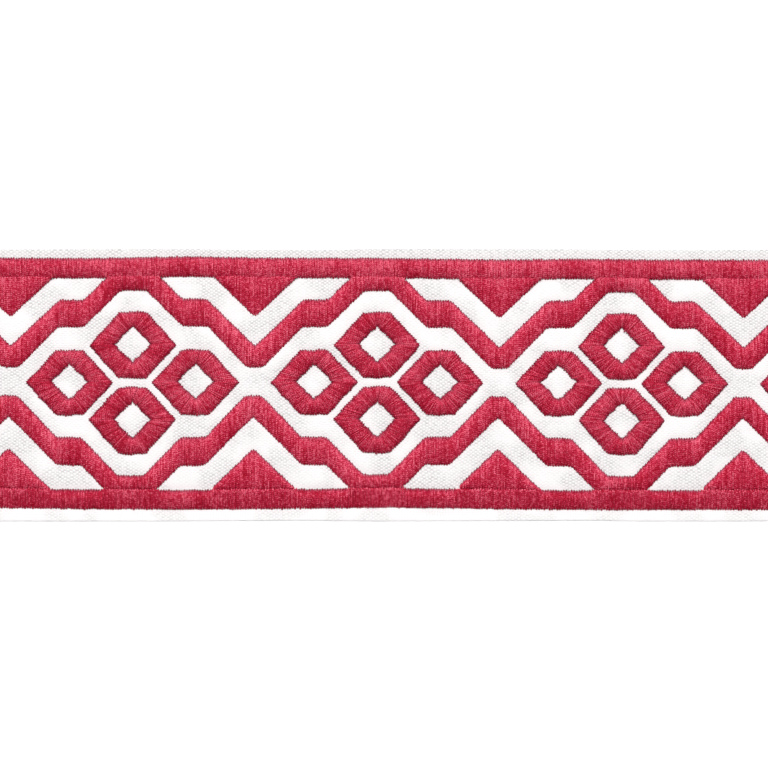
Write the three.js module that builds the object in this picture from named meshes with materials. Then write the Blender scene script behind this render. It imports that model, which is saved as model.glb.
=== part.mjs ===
// A cut length of embroidered tape trim, lying flat: a white woven tape with turned edges, and on it
// two plain borders, two stepped zigzags, a row of triangles along each border and four ring-shaped
// lozenges in each repeat, all in padded satin stitch.
//
// Millimetres. X runs along the tape, Y across it and Z up from the surface that it lies on.
// The origin is the middle of the underside.
import * as THREE from "three";

// The tape
const REPEAT = 68; // one figure and the gap to the next
const REPEATS = 5;
const LENGTH = REPEAT * REPEATS;
const VALLEYS = Array.from({ length: REPEATS + 1 }, (_, i) => i * REPEAT - LENGTH / 2);
const CRESTS = VALLEYS.slice(0, -1).map((valley) => valley + REPEAT / 2);
const WIDTH = 76;
const CLOTH = 1; // the cloth, with its turned edge or the stitches' back threads under it
const EDGE_STEPS = 4; // facets round each turned edge
const UPPER_MARGIN = 2.9; // bare cloth beyond the upper border

// Satin stitch
const GAP = 0.3; // between two neighbouring pieces
const RISE = 1; // the padding's height in a wide column
const FULL_SPAN = 5; // a column narrower than this is lower

// The embroidery is the same above and below its own middle line.
const BORDER_WIDTH = 5.5;
const BORDER_INNER = 29.3; // from the middle line to a border's inner edge
const MIDDLE = WIDTH / 2 - UPPER_MARGIN - BORDER_WIDTH - BORDER_INNER;
const BORDER_STEPS = 8; // sections in each repeat

// Half a repeat of the zigzag, from the middle of its crest to the middle of its valley: its edge
// towards the border and its edge towards the middle line. Its stitches run straight across the tape.
const ZIGZAG_TOP = [
  { x: 0, y: BORDER_INNER - GAP },
  { x: 7.8, y: BORDER_INNER - GAP },
  { x: 13.5, y: 23.25 },
  { x: 20.4, y: 23.25 },
  { x: 34, y: 10.3 },
];
const ZIGZAG_FOOT = [
  { x: 0, y: 25.6 },
  { x: 3.7, y: 25.6 },
  { x: 13.9, y: 15.6 },
  { x: 20.9, y: 15.6 },
  { x: 31.8, y: 4.3 },
  { x: 34, y: 4.3 },
];
const ZIGZAG_STEPS = [0, 3.2, 5.2, 7.8, 10.5, 13.5, 15, 19.6, 21.2, 26.2, 30.8, 32.6];

// Half a triangle, from its point to its corner on the border.
const TRIANGLE = [
  { x: 0, y: 18.4 },
  { x: 11.6, y: BORDER_INNER },
  { x: 16, y: BORDER_INNER },
];
const TRIANGLE_STEPS = [0, 2.4, 6.6, 10.7];
const CORNER = 0.5; // a bend of the zigzag or the triangle is rounded over this far on either side
const CORNER_SAMPLES = [-1, -0.5, 0, 0.5, 1];

// A quarter of a lozenge ring, from its side to the middle of its top: each row is one stitch, from the
// six-sided outside to the square hole.
const LOZENGE = [
  { outX: 12.1, outY: 0, holeX: 5, holeY: 0 },
  { outX: 10.7, outY: 1.6, holeX: 4.5, holeY: 0.5 },
  { outX: 6.7, outY: 6.1, holeX: 2.2, holeY: 2.8 },
  { outX: 3.9, outY: 9.1, holeX: 0.6, holeY: 4.4 },
  { outX: 0, outY: 9.4, holeX: 0, holeY: 5 },
];
// Each ring's middle, and how far its hole is off it.
const LOZENGES = [
  { name: "left", x: -17.5, y: 0, hole: 0.3 },
  { name: "right", x: 17.5, y: 0, hole: 0.3 },
  { name: "top", x: 0, y: 10.5, hole: 0.3 },
  { name: "bottom", x: 0, y: -10.5, hole: 0 },
];

// How the stitching strays: the upper and the lower side of the pattern shift across the tape, and its
// upper side leans along it past its lower side.
const STRAY = [
  { x: -170, upper: -0.1, lower: 0, lean: 0 },
  { x: -140, upper: 0.2, lower: -0.3, lean: 0.3 },
  { x: -105, upper: 0.15, lower: 0.15, lean: 0.5 },
  { x: -80, upper: 0.1, lower: -0.1, lean: 0.6 },
  { x: -52, upper: 0.6, lower: -0.3, lean: 0.6 },
  { x: -30, upper: 0.2, lower: -0.1, lean: 0.2 },
  { x: 5, upper: 0.05, lower: 0.35, lean: 0 },
  { x: 34, upper: -0.35, lower: -0.1, lean: 0.1 },
  { x: 56, upper: -0.1, lower: -0.35, lean: -0.2 },
  { x: 78, upper: -0.35, lower: -0.3, lean: -0.3 },
  { x: 110, upper: -0.4, lower: -0.35, lean: 0 },
  { x: 140, upper: 0.1, lower: 0.1, lean: 0.3 },
  { x: 170, upper: -0.1, lower: 0, lean: 0 },
];

// The lower half's zigzag and rings ride up towards the middle, most of all at this height.
const RIDE = { most: 0.5, at: -10, reach: 12 };

// The lower zigzag and triangles are sewn a little off the chart, along the tape and towards the middle.
const LOWER = { along: -0.35, crest: 0.1, valley: 0.6, triangle: 0.15 };

// How far the tape's turned edges draw in from its full width.
const EDGES = [
  { x: -170, upper: 0, lower: 0.1 },
  { x: -130, upper: 0.2, lower: 0 },
  { x: -60, upper: 0, lower: 0 },
  { x: -20, upper: 0.4, lower: 0.2 },
  { x: 0, upper: 0, lower: 0 },
  { x: 60, upper: 0.1, lower: 0.2 },
  { x: 72, upper: 0.4, lower: 0 },
  { x: 100, upper: 0.3, lower: 0 },
  { x: 135, upper: 0, lower: 0.2 },
  { x: 170, upper: 0.1, lower: 0 },
];

// A satin column's section: across from one row of needle holes to the other, and the share of its rise.
const SECTION = [
  { across: 0, rise: 0 },
  { across: 0, rise: 0.35 },
  { across: 0.14, rise: 0.8 },
  { across: 0.5, rise: 1 },
  { across: 0.86, rise: 0.8 },
  { across: 1, rise: 0.35 },
  { across: 1, rise: 0 },
];

const clothFinish = new THREE.MeshStandardMaterial({ color: "#f3f0ef", roughness: 0.95, metalness: 0 });
const threadFinish = new THREE.MeshStandardMaterial({ color: "#bf3c55", roughness: 0.75, metalness: 0 });

const mix = (a, b, t) => a + (b - a) * t;

// One column of a table at x, straight from row to row.
function read(table, column, x) {
  const next = Math.max(1, table.findIndex((row) => row.x >= x));
  const [from, to] = [table[next - 1], table[next]];
  return mix(from[column], to[column], (x - from.x) / (to.x - from.x));
}

// The outline of a figure that mirrors about x = 0, with its bends rounded. It is level past its end.
function outline(table, x) {
  const end = table.at(-1).x;
  const places = CORNER_SAMPLES.map((share) => Math.min(end, Math.abs(x + share * CORNER)));
  return places.reduce((sum, place) => sum + read(table, "y", place), 0) / places.length;
}

// The distance along the tape from the nearest crest.
const fromCrest = (x) => ((x + LENGTH / 2 + REPEAT) % REPEAT) - REPEAT / 2;

// Places along the tape kept to its length, without repeats.
const kept = (places) => [...new Set(places.map((x) => Math.min(LENGTH / 2, Math.max(-LENGTH / 2, x))))];

// Where a point of the straight chart lies on the real tape.
function strayed(x, y) {
  const side = y / WIDTH + 0.5;
  const ride = RIDE.most * Math.exp(-(((y - RIDE.at) / RIDE.reach) ** 2));
  return [
    x + read(STRAY, "lean", x) * (side - 0.5),
    y + ride + mix(read(STRAY, "lower", x), read(STRAY, "upper", x), side),
  ];
}

// Joins rings of points, each with as many points as the next, into one solid: a bar with two flat
// ends, or where it is closed a loop whose last ring joins its first.
function loft(rings, closed = false) {
  const count = rings[0].length;
  const faces = [];
  const spans = closed ? rings.length : rings.length - 1;
  for (let i = 0; i < spans; i++) {
    const here = i * count;
    const next = ((i + 1) % rings.length) * count;
    for (let j = 0; j < count; j++) {
      const k = (j + 1) % count;
      faces.push(here + j, next + j, next + k, here + j, next + k, here + k);
    }
  }
  if (!closed) {
    const end = (rings.length - 1) * count;
    for (let j = 1; j < count - 1; j++) {
      faces.push(0, j, j + 1, end, end + j + 1, end + j);
    }
  }
  const geometry = new THREE.BufferGeometry();
  geometry.setAttribute("position", new THREE.Float32BufferAttribute(rings.flat(2), 3));
  geometry.setIndex(faces);
  geometry.computeVertexNormals();
  return geometry;
}

// A padded satin column. Each stitch is a pair of points, from one row of needle holes to the other.
// The stitches follow each other with their second points on the left.
function satin(stitches, closed = false) {
  const base = CLOTH + GAP;
  const rings = stitches.map(([from, to]) => {
    const span = Math.hypot(to[0] - from[0], to[1] - from[1]);
    const rise = RISE * Math.min(1, Math.sqrt(span / FULL_SPAN));
    return SECTION.map((point) => [
      ...strayed(mix(from[0], to[0], point.across), mix(from[1], to[1], point.across)),
      base + rise * point.rise,
    ]);
  });
  return loft(rings, closed);
}

// The chart above the middle line is the same below it. The mirror turns each pair of points round.
const across = (x, from, to, upper) =>
  upper ? [[x, MIDDLE + from], [x, MIDDLE + to]] : [[x, MIDDLE - to], [x, MIDDLE - from]];

function wovenTape() {
  const half = CLOTH / 2;
  const rings = EDGES.map((row) => {
    const turnedEdge = (side, drawnIn) =>
      Array.from({ length: EDGE_STEPS + 1 }, (_, i) => {
        const turn = (Math.PI * i) / EDGE_STEPS;
        const y = WIDTH / 2 - drawnIn - half * (1 - Math.sin(turn));
        return [row.x, side * y, half * (1 + side * Math.cos(turn))];
      });
    return [...turnedEdge(1, row.upper), ...turnedEdge(-1, row.lower)];
  });
  return loft(rings);
}

function border(upper) {
  const sections = REPEATS * BORDER_STEPS;
  const stitches = Array.from({ length: sections + 1 }, (_, i) =>
    across(mix(-LENGTH / 2, LENGTH / 2, i / sections), BORDER_INNER, BORDER_INNER + BORDER_WIDTH, upper),
  );
  return satin(stitches);
}

function zigzag(upper) {
  const slip = upper ? 0 : LOWER.along;
  const steps = [...ZIGZAG_STEPS.slice(1).map((x) => -x).reverse(), ...ZIGZAG_STEPS];
  const bends = CRESTS.flatMap((crest) => [crest - REPEAT / 2, ...steps.map((x) => crest + x)]);
  const places = kept([-LENGTH / 2, ...bends.map((x) => x + slip), LENGTH / 2]);
  const stitches = places.map((x) => {
    const off = fromCrest(x - slip);
    const lift = upper ? 0 : mix(LOWER.crest, LOWER.valley, Math.abs(off) / (REPEAT / 2));
    return across(x, outline(ZIGZAG_FOOT, off) - lift, outline(ZIGZAG_TOP, off) - lift, upper);
  });
  return satin(stitches);
}

// A triangle between two figures; those at the tape's ends are cut through their point.
function triangle(centre, upper) {
  const steps = [...TRIANGLE_STEPS.slice(1).map((x) => -x).reverse(), ...TRIANGLE_STEPS];
  const point = centre + (upper ? 0 : LOWER.along);
  const lift = upper ? 0 : LOWER.triangle;
  const base = BORDER_INNER - GAP;
  const stitches = kept(steps.map((x) => point + x)).map((x) =>
    across(x, outline(TRIANGLE, x - point) - lift, base, upper),
  );
  return satin(stitches);
}

// A ring, stitch by stitch round its four quarters.
function lozenge(centreX, centreY, hole) {
  const quarters = [
    { x: 1, y: 1, rows: LOZENGE.slice(0, -1) },
    { x: -1, y: 1, rows: LOZENGE.slice(1).reverse() },
    { x: -1, y: -1, rows: LOZENGE.slice(0, -1) },
    { x: 1, y: -1, rows: LOZENGE.slice(1).reverse() },
  ];
  const stitches = quarters.flatMap((quarter) =>
    quarter.rows.map((row) => [
      [centreX + quarter.x * row.outX, MIDDLE + centreY + quarter.y * row.outY],
      [centreX + quarter.x * row.holeX, MIDDLE + centreY + hole + quarter.y * row.holeY],
    ]),
  );
  return satin(stitches, true);
}

const trim = new THREE.Group();
trim.name = "embroidered_tape_trim";

function sew(name, geometry, finish = threadFinish) {
  const piece = new THREE.Mesh(geometry, finish);
  piece.name = name;
  trim.add(piece);
}

sew("woven_tape", wovenTape(), clothFinish);
for (const side of ["upper", "lower"]) {
  const upper = side === "upper";
  sew(`border_${side}`, border(upper));
  sew(`zigzag_${side}`, zigzag(upper));
  VALLEYS.forEach((valley, i) => sew(`triangle_${side}_${i + 1}`, triangle(valley, upper)));
}
CRESTS.forEach((crest, i) => {
  for (const place of LOZENGES) {
    sew(`lozenge_${i + 1}_${place.name}`, lozenge(crest + place.x, place.y, place.hole));
  }
});

export default trim;
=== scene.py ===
"""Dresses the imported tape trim: woven cloth with turned edges and satin stitches, thread by thread.

The chart is the CAD source's, in millimetres; meshes are made in metres in the same frame.
"""

import logging
import math
import zlib
from dataclasses import dataclass, field, replace
from enum import Enum
from typing import Sequence

import bpy
import numpy as np
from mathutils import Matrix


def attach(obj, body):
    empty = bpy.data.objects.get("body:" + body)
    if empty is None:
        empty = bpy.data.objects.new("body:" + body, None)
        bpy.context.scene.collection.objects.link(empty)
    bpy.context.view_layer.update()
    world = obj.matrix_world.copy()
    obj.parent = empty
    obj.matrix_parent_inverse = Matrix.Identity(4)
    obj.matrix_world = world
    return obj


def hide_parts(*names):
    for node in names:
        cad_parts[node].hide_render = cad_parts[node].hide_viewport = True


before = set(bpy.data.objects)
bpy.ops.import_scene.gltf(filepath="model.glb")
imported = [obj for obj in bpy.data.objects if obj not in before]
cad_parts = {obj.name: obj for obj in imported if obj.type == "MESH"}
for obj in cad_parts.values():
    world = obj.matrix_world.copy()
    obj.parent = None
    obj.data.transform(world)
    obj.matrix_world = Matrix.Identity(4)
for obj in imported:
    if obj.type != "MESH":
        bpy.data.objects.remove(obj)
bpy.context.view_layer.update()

log = logging.getLogger("tape_trim")

MM = 0.001
Array = np.ndarray
Socket = bpy.types.NodeSocket


# The chart


class Side(Enum):
    """The half of the pattern above the middle line, or the one below it."""

    UPPER = 1
    LOWER = -1


@dataclass(frozen=True)
class Chart:
    """The pattern's sizes in millimetres, the same as in the CAD source."""

    repeat: float = 68.0
    repeats: int = 5
    width: float = 76.0
    upper_margin: float = 2.9
    border_width: float = 5.5
    border_inner: float = 29.3
    corner: float = 0.5
    zigzag_top: tuple = ((0, 29.0), (7.8, 29.0), (13.5, 23.25), (20.4, 23.25), (34, 10.3))
    zigzag_foot: tuple = ((0, 25.6), (3.7, 25.6), (13.9, 15.6), (20.9, 15.6), (31.8, 4.3), (34, 4.3))
    triangle: tuple = ((0, 18.4), (11.6, 29.3), (16, 29.3))
    ring_out: tuple = ((12.1, 0), (10.7, 1.6), (6.7, 6.1), (3.9, 9.1), (0, 9.4))
    ring_hole: tuple = ((5, 0), (4.5, 0.5), (2.2, 2.8), (0.6, 4.4), (0, 5))
    # Each ring's name, its place along and across from the figure's middle, and how far up its hole is.
    rings: tuple = (
        ("left", -17.5, 0, 0.3),
        ("right", 17.5, 0, 0.3),
        ("top", 0, 10.5, 0.3),
        ("bottom", 0, -10.5, 0),
    )
    # How far the real tape strays at places along it: up at its upper and lower edge, and sideways.
    stray_x: tuple = (-170, -140, -105, -80, -52, -30, 5, 34, 56, 78, 110, 140, 170)
    stray_upper: tuple = (-0.1, 0.2, 0.15, 0.1, 0.6, 0.2, 0.05, -0.35, -0.1, -0.35, -0.4, 0.1, -0.1)
    stray_lower: tuple = (0, -0.3, 0.15, -0.1, -0.3, -0.1, 0.35, -0.1, -0.35, -0.3, -0.35, 0.1, 0)
    stray_lean: tuple = (0, 0.3, 0.5, 0.6, 0.6, 0.2, 0, 0.1, -0.2, -0.3, 0, 0.3, 0)
    # The lower half is sewn off the chart: along the tape, at its crests and valleys, and its triangles.
    lower_slip: float = -0.35
    lower_lift: tuple = (0.1, 0.6)
    lower_triangle_lift: float = 0.15
    # The stitches round one line across the tape ride up.
    ride_most: float = 0.5
    ride_at: float = -10.0
    ride_reach: float = 12.0
    # How far the cloth's own edges are set in, at places along it.
    edge_x: tuple = (-170, -130, -60, -20, 0, 60, 72, 100, 135, 170)
    edge_upper: tuple = (0, 0.2, 0, 0.4, 0, 0.1, 0.4, 0.3, 0, 0.1)
    edge_lower: tuple = (0.1, 0, 0, 0.2, 0, 0.2, 0, 0, 0.2, 0)

    @property
    def length(self) -> float:
        """The tape's length."""
        return self.repeat * self.repeats

    @property
    def middle(self) -> float:
        """How far the pattern's middle line lies from the tape's."""
        return self.width / 2 - self.upper_margin - self.border_width - self.border_inner

    @property
    def valleys(self) -> list[float]:
        """Where the zigzags come nearest the middle line."""
        return [i * self.repeat - self.length / 2 for i in range(self.repeats + 1)]

    @property
    def crests(self) -> list[float]:
        """The middles of the figures."""
        return [valley + self.repeat / 2 for valley in self.valleys[:-1]]

    def outline(self, table: Sequence, x: Array) -> Array:
        """Reads a figure's outline that mirrors about x = 0, with its bends rounded.

        Args:
            table: points of the right half, from its middle outwards.
            x: distances from the figure's middle.

        Returns:
            The outline's heights above the middle line.
        """
        across, up = np.array(table, float).T
        shifts = [share * self.corner for share in (-1, -0.5, 0, 0.5, 1)]
        return np.mean([np.interp(np.abs(x + shift), across, up) for shift in shifts], axis=0)

    def from_crest(self, x: Array) -> Array:
        """The distance along the tape from the nearest crest."""
        return (x + self.length / 2) % self.repeat - self.repeat / 2

    def slip(self, side: Side) -> float:
        """How far a half's zigzag and triangles are sewn off the chart, along the tape."""
        return self.lower_slip if side is Side.LOWER else 0.0

    def zigzag(self, x: Array, side: Side) -> tuple[Array, Array]:
        """Reads a half's zigzag.

        Args:
            x: places along the tape.
            side: the half.

        Returns:
            The distances of its two edges from the middle line, the nearer edge's first.
        """
        off = self.from_crest(x - self.slip(side))
        lift = np.interp(np.abs(off), (0, self.repeat / 2), self.lower_lift) * (side is Side.LOWER)
        return self.outline(self.zigzag_foot, off) - lift, self.outline(self.zigzag_top, off) - lift

    def triangle_foot(self, x: Array, valley: float | Array, side: Side) -> Array:
        """Reads a half's triangle.

        Args:
            x: places along the tape.
            valley: where the figures on either side of it meet.
            side: the half.

        Returns:
            The distances of its slanting edges from the middle line.
        """
        lift = self.lower_triangle_lift if side is Side.LOWER else 0.0
        return self.outline(self.triangle, x - valley - self.slip(side)) - lift

    def strayed(self, points: Array) -> Array:
        """Moves points of the straight chart to where they lie on the real tape.

        Args:
            points: an array whose last axis is x, y.

        Returns:
            The moved points.
        """
        x = points[..., 0]
        y = points[..., 1]
        side = y / self.width + 0.5
        lower = np.interp(x, self.stray_x, self.stray_lower)
        upper = np.interp(x, self.stray_x, self.stray_upper)
        lean = np.interp(x, self.stray_x, self.stray_lean)
        ride = self.ride_most * np.exp(-(((y - self.ride_at) / self.ride_reach) ** 2))
        return np.stack([x + lean * (side - 0.5), y + ride + lower + (upper - lower) * side], axis=-1)

    def stitched(self, x: Array, y: Array) -> Array:
        """Says which points of the straight chart lie under stitches.

        Args:
            x: distances along the tape.
            y: distances across it, from the tape's middle.

        Returns:
            1 under stitches and 0 on bare cloth.
        """
        up = np.abs(y - self.middle)
        off = self.from_crest(x)
        valley = x - off + np.where(off < 0, -1, 1) * self.repeat / 2
        under = (up > self.border_inner) & (up < self.border_inner + self.border_width)
        for side in Side:
            here = (y > self.middle) if side is Side.UPPER else (y <= self.middle)
            foot, top = self.zigzag(x, side)
            under |= here & (up > foot) & (up < top)
            under |= here & (up > self.triangle_foot(x, valley, side)) & (up < self.border_inner)
        out_x, out_y = np.array(self.ring_out[::-1], float).T
        hole_x, hole_y = np.array(self.ring_hole[::-1], float).T
        for _, ring_x, ring_y, hole in self.rings:
            from_x = np.abs(off - ring_x)
            from_y = y - self.middle - ring_y
            outside = np.abs(from_y) > np.interp(from_x, out_x, out_y, right=-1)
            in_hole = np.abs(from_y - hole) < np.interp(from_x, hole_x, hole_y, right=-1)
            under |= ~outside & ~in_hole
        return under.astype(float)


CHART = Chart()


# Shader nodes


class Nodes:
    """A short way of writing a node tree: each call adds a node and gives its output."""

    def __init__(self, tree: bpy.types.NodeTree) -> None:
        """Starts on an empty tree."""
        self.tree = tree
        tree.nodes.clear()

    def add(self, kind: str, **inputs: object) -> bpy.types.Node:
        """Adds a node and feeds its inputs.

        Args:
            kind: the node's type name, without ShaderNode.
            **inputs: values or sockets by input name, with _ for a space. Any other name is a setting.

        Returns:
            The node.
        """
        node = self.tree.nodes.new(kind if kind.startswith("NodeGroup") else "ShaderNode" + kind)
        for name, value in inputs.items():
            spaced = name.replace("_", " ")
            if spaced in node.inputs:
                self.feed(node.inputs[spaced], value)
            else:
                setattr(node, name, value)
        return node

    def feed(self, socket: Socket, value: object) -> None:
        """Links a socket, or sets its value.

        Args:
            socket: the input that is fed.
            value: the output that it is linked to, or its own value.
        """
        if isinstance(value, Socket):
            self.tree.links.new(value, socket)
        else:
            socket.default_value = value

    def math(self, operation: str, *values: object, clamp: bool = False) -> Socket:
        """Adds a Math node.

        Args:
            operation: the operation's name.
            *values: numbers or sockets.
            clamp: whether the result stays between 0 and 1.

        Returns:
            The result's socket.
        """
        node = self.tree.nodes.new("ShaderNodeMath")
        node.operation = operation
        node.use_clamp = clamp
        for socket, value in zip(node.inputs, values):
            self.feed(socket, value)
        return node.outputs[0]

    def mix(self, factor: object, one: object, two: object) -> Socket:
        """Mixes two colours.

        Args:
            factor: how much of the second.
            one: the first colour.
            two: the second colour.

        Returns:
            The mixed colour's socket.
        """
        node = self.tree.nodes.new("ShaderNodeMix")
        node.data_type = "RGBA"
        # A Mix node's colours are its seventh and eighth inputs and its third output.
        for place, value in ((0, factor), (6, one), (7, two)):
            self.feed(node.inputs[place], value)
        return node.outputs[2]

    def ramp(self, value: object, span: tuple, becomes: tuple = (0.0, 1.0)) -> Socket:
        """Maps a range of values smoothly onto another.

        Args:
            value: the value that is mapped.
            span: where the range starts and ends.
            becomes: what its start and its end become.

        Returns:
            The mapped value's socket.
        """
        node = self.add("MapRange", interpolation_type="SMOOTHSTEP")
        names = ("Value", "From Min", "From Max", "To Min", "To Max")
        for name, number in zip(names, (value, *span, *becomes)):
            self.feed(node.inputs[name], number)
        return node.outputs[0]

    def noise(self, vector: object, scale: float, detail: float = 2.0) -> Socket:
        """A noise between 0 and 1."""
        return self.add("TexNoise", Vector=vector, Scale=scale, Detail=detail).outputs[0]

    def stretched(self, vector: object, scale: tuple) -> Socket:
        """A vector scaled along each axis."""
        return self.add("Mapping", Vector=vector, Scale=scale).outputs[0]

    def tone(self) -> Sequence[Socket]:
        """The three numbers that the mesh says about each of its points."""
        colour = self.add("Attribute", attribute_name="tone").outputs["Color"]
        return self.add("SeparateColor", Color=colour).outputs


def new_group(
    name: str, inputs: dict[str, float | None], outputs: Sequence[str]
) -> tuple[Nodes, bpy.types.Node, bpy.types.Node]:
    """Starts a shader node group with named sockets.

    Args:
        name: the group's name.
        inputs: each input's name and first value, or None for a vector.
        outputs: the outputs' names. Each is a number.

    Returns:
        Its nodes, its input node and its output node.
    """
    tree = bpy.data.node_groups.new(name, "ShaderNodeTree")
    for socket_name, value in inputs.items():
        kind = "NodeSocketVector" if value is None else "NodeSocketFloat"
        socket = tree.interface.new_socket(name=socket_name, in_out="INPUT", socket_type=kind)
        if value is not None:
            socket.default_value = value
    for socket_name in outputs:
        tree.interface.new_socket(name=socket_name, in_out="OUTPUT", socket_type="NodeSocketFloat")
    nodes = Nodes(tree)
    return nodes, nodes.add("NodeGroupInput"), nodes.add("NodeGroupOutput")


def new_material(name: str) -> tuple[bpy.types.Material, Nodes]:
    """Starts a material.

    Args:
        name: its name.

    Returns:
        The material and its empty nodes.
    """
    made = bpy.data.materials.new(name)
    made.use_nodes = True
    return made, Nodes(made.node_tree)


@dataclass(frozen=True)
class SpunFibres:
    """Fine fibres that run along a yarn: streaks of light and shade, and their relief."""

    fine_scale: tuple = (5, 2.5, 5)
    broad_share: float = 0.7
    fine_share: float = 0.3

    def group(self) -> bpy.types.NodeTree:
        """Builds the node group.

        Returns:
            The node group, with a Streak and a Height output.
        """
        inputs = {"Vector": None, "Length": 1.0, "Strength": 1.0}
        nodes, given, made = new_group("spun fibres", inputs, ("Streak", "Height"))
        split = nodes.add("SeparateXYZ", Vector=given.outputs["Vector"])
        along = nodes.math("DIVIDE", split.outputs[1], given.outputs["Length"])
        vector = nodes.add("CombineXYZ", X=split.outputs[0], Y=along, Z=split.outputs[2]).outputs[0]
        broad = nodes.math("MULTIPLY", nodes.noise(vector, 1.0, 1.0), self.broad_share)
        fine = nodes.noise(nodes.stretched(vector, self.fine_scale), 1.0, 2.0)
        both = nodes.math("ADD", broad, nodes.math("MULTIPLY", fine, self.fine_share))
        streak = nodes.math("MULTIPLY", nodes.math("SUBTRACT", both, 0.5), given.outputs["Strength"])
        nodes.feed(made.inputs["Streak"], streak)
        nodes.feed(made.inputs["Height"], fine)
        return nodes.tree


@dataclass(frozen=True)
class PlainWeave:
    """A plain weave over a flat sheet: its relief and the small gaps between its yarns."""

    sway_scale: float = 260.0
    sway_reach: float = 4.0
    weft_sway_place: tuple = (0.31, 0.17, 0.0)
    crown: float = 0.8
    flank: float = 0.35
    gap_span: tuple = (0.15, 0.62)
    warp_span: tuple = (-0.25, 0.55)

    def group(self) -> bpy.types.NodeTree:
        """Builds the node group.

        Returns:
            The node group, with Height, Gap and Warp outputs.
        """
        inputs = {"Vector": None, "Warp Pitch": 0.00075, "Weft Pitch": 0.00047, "Wander": 0.45}
        nodes, given, made = new_group("plain weave", inputs, ("Height", "Gap", "Warp"))
        place = given.outputs["Vector"]
        split = nodes.add("SeparateXYZ", Vector=place)
        elsewhere = nodes.add("VectorMath", operation="ADD")
        nodes.feed(elsewhere.inputs[0], place)
        nodes.feed(elsewhere.inputs[1], self.weft_sway_place)
        reach = nodes.math("MULTIPLY", given.outputs["Wander"], self.sway_reach)
        waves = []
        for axis, pitch, where in ((0, "Warp Pitch", place), (1, "Weft Pitch", elsewhere.outputs[0])):
            sway = nodes.math("SUBTRACT", nodes.noise(where, self.sway_scale, 1.0), 0.5)
            steps = nodes.math("DIVIDE", split.outputs[axis], given.outputs[pitch])
            wandering = nodes.math("MULTIPLY_ADD", sway, reach, steps)
            waves.append(nodes.math("SINE", nodes.math("MULTIPLY", wandering, math.pi)))
        over = nodes.math("MULTIPLY", waves[0], waves[1])
        warp_on_top = nodes.math("GREATER_THAN", over, 0.0)
        rises = [nodes.math("ABSOLUTE", wave) for wave in waves]
        yarns = []
        for rise, other in (rises, rises[::-1]):
            crown = nodes.math("POWER", rise, self.crown)
            yarns.append(nodes.math("MULTIPLY", crown, nodes.math("POWER", other, self.flank)))
        warp, weft = yarns
        higher = nodes.math("MULTIPLY", warp_on_top, nodes.math("SUBTRACT", warp, weft))
        height = nodes.math("ADD", weft, higher)
        nodes.feed(made.inputs["Height"], height)
        nodes.feed(made.inputs["Gap"], nodes.ramp(height, self.gap_span, (1.0, 0.0)))
        nodes.feed(made.inputs["Warp"], nodes.ramp(over, self.warp_span))
        return nodes.tree


# Finishes


@dataclass(frozen=True)
class SatinThread:
    """Soft lustrous two-ply thread, raspberry red, with painted shade where it goes down into a needle
    hole and a painted glint where its light is high.
    """

    colour: tuple = (0.57, 0.022, 0.068, 1)
    deep: tuple = (0.37, 0.001, 0.016, 1)
    # painted_glint is a painted highlight: the thread's colour where its light is highest.
    painted_glint: tuple = (0.85, 0.155, 0.232, 1)
    # hole is painted shade: the colour of a thread down in its needle hole.
    hole: tuple = (0.08, 0.002, 0.020, 1)
    twist_pitch: float = 0.55
    painted_twist_glint: float = 0.2
    twist_relief: float = 0.6
    streak_length: float = 0.5
    streak_light: float = 3.0
    bump: float = 0.7
    bump_depth: float = 0.0001
    roughness: tuple = (0.42, 0.30)
    specular: float = 0.12

    def material(self, fibres: bpy.types.NodeTree) -> bpy.types.Material:
        """Builds the material.

        Args:
            fibres: the node group of spun fibres.

        Returns:
            The material.
        """
        made, nodes = new_material("satin_thread")
        place = nodes.add("UVMap", uv_map="thread").outputs[0]
        spun = nodes.add("Group", node_tree=fibres, Vector=place, Length=self.streak_length)
        shade, depth, _ = nodes.tone()
        split = nodes.add("SeparateXYZ", Vector=place)
        turns = nodes.math("DIVIDE", split.outputs[1], self.twist_pitch)
        turns = nodes.math("ADD", turns, split.outputs[0])
        twist = nodes.math("SINE", nodes.math("MULTIPLY", turns, 2 * math.pi))
        # The light is the mesh's shade, which holds painted light, with random streaks and a painted
        # glint along the twist.
        streaks = nodes.math("MULTIPLY", spun.outputs["Streak"], self.streak_light)
        uneven = nodes.math("MULTIPLY_ADD", twist, self.painted_twist_glint, streaks)
        light = nodes.math("ADD", shade, uneven, clamp=True)
        # The lower half of the light goes from deep to the colour, and the upper half on to the painted
        # glint, a painted highlight.
        body = nodes.mix(nodes.math("MULTIPLY", light, 2.0, clamp=True), self.deep, self.colour)
        bright = nodes.math("MULTIPLY_ADD", light, 2.0, -1.0, clamp=True)
        colour = nodes.mix(depth, self.hole, nodes.mix(bright, body, self.painted_glint))
        relief = nodes.math("MULTIPLY_ADD", twist, self.twist_relief, spun.outputs["Height"])
        bump = nodes.add("Bump", Strength=self.bump, Distance=self.bump_depth, Height=relief).outputs[0]
        roughness = nodes.ramp(light, (0.0, 1.0), self.roughness)
        shader = nodes.add("BsdfPrincipled", Base_Color=colour, Roughness=roughness, Normal=bump)
        shader.inputs["Specular IOR Level"].default_value = self.specular
        nodes.add("OutputMaterial", Surface=shader.outputs[0])
        return made


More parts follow.
